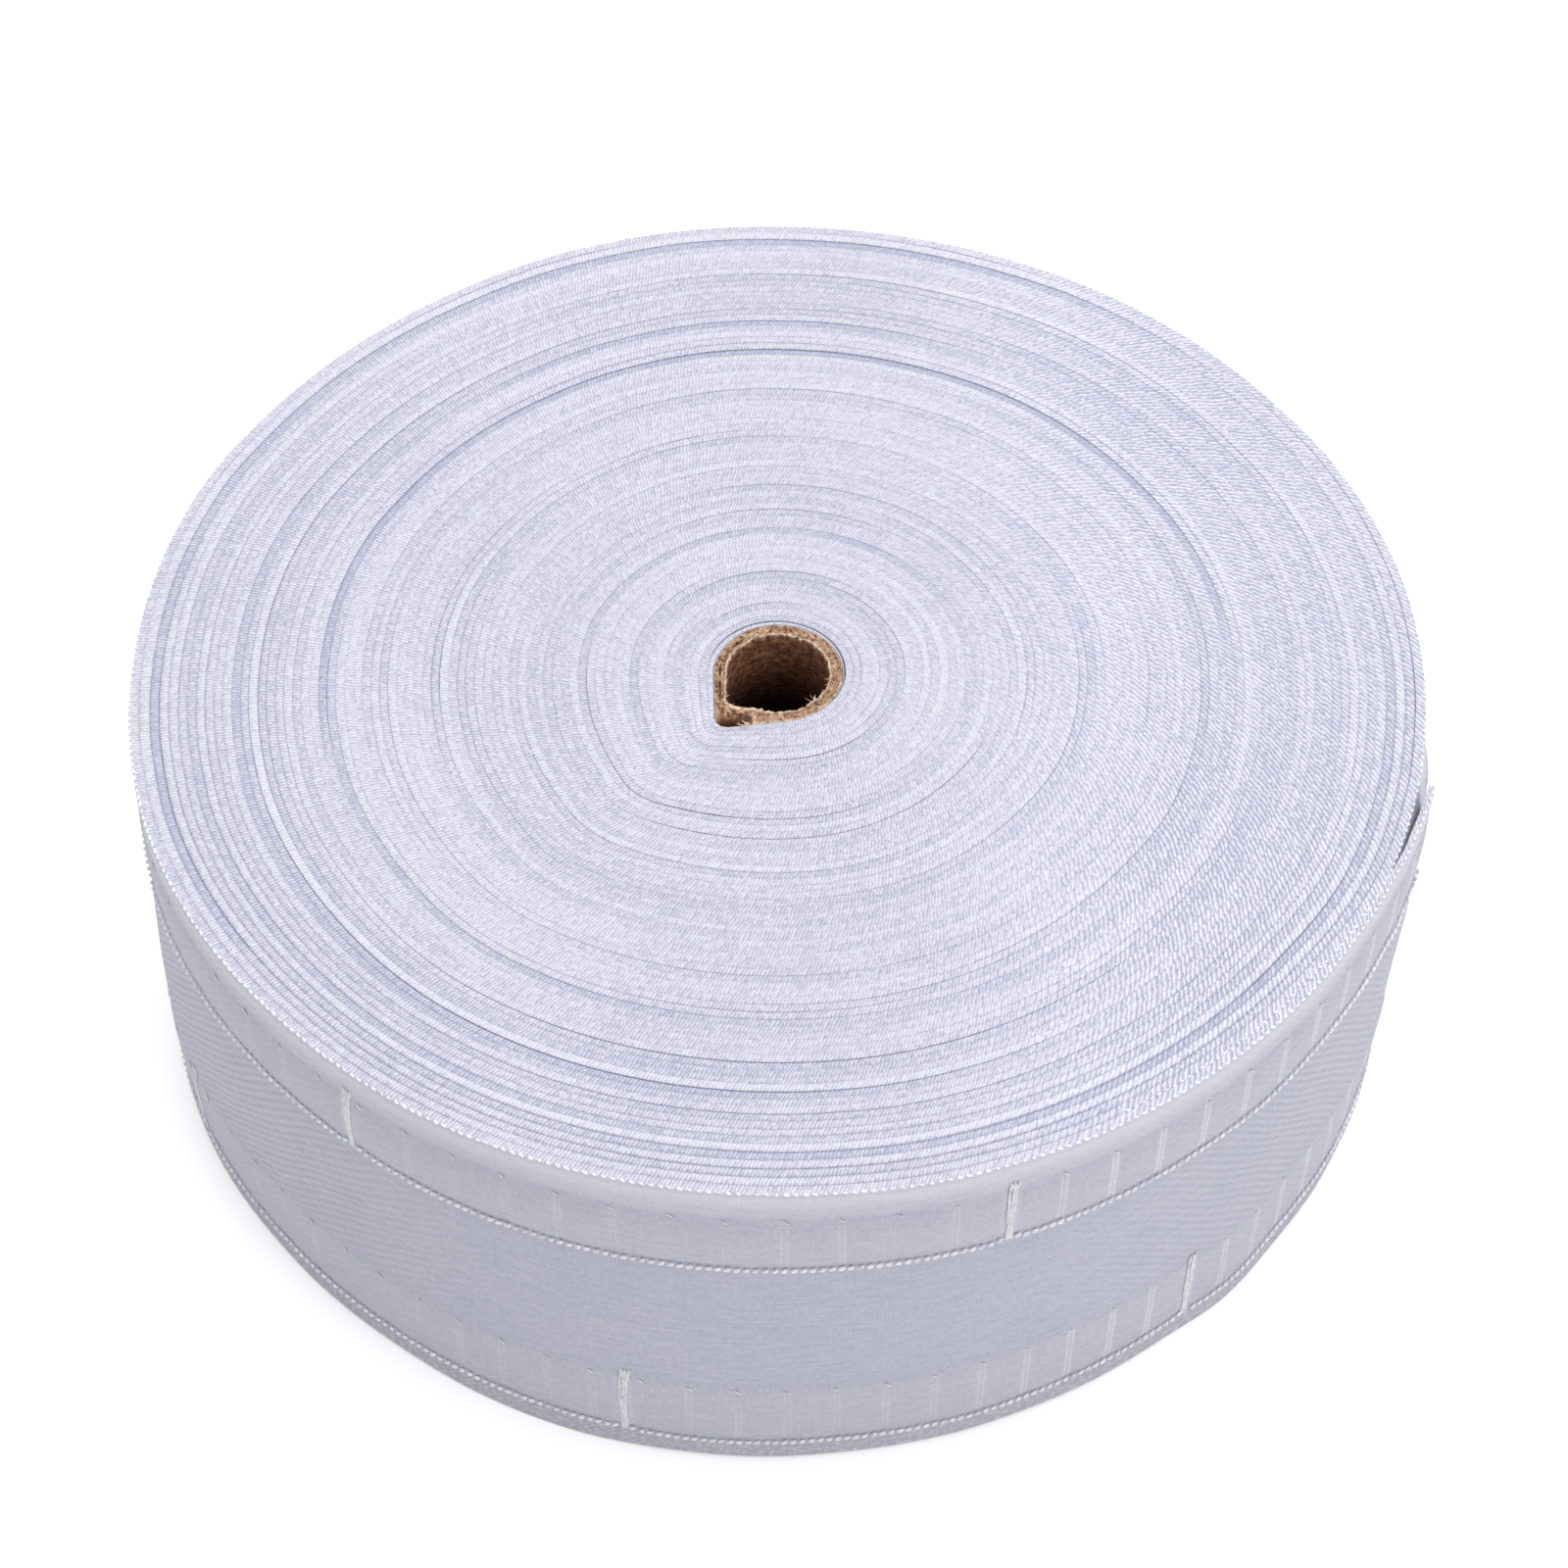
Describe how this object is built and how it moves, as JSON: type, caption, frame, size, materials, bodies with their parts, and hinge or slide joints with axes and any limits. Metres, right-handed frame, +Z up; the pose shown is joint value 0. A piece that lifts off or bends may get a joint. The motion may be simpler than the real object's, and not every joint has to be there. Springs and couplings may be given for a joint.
{
  "type": "roll of curtain heading tape",
  "caption": "Full roll of woven curtain heading tape with corded rows of pockets, wound on a crimped cardboard tube, its cut end standing a little off the outer turn.",
  "frame": {"origin": "middle of the bounding box's foot, on the surface that the roll stands on", "axes": "+Z up along the roll's axis; the picture looks along +Y from above, so -Y is the front and +X is to the right"},
  "size_m": [0.2142, 0.2154, 0.0757],
  "materials": {
    "tape": "matt white woven polyester tape with a cool cast",
    "cardboard": "raw brown cardboard with a torn, fibrous rim"
  },
  "bodies": {
    "root": {"tape_roll": "tape", "loose_end": "tape", "core_tube": "cardboard"}
  },
  "joints": []
}
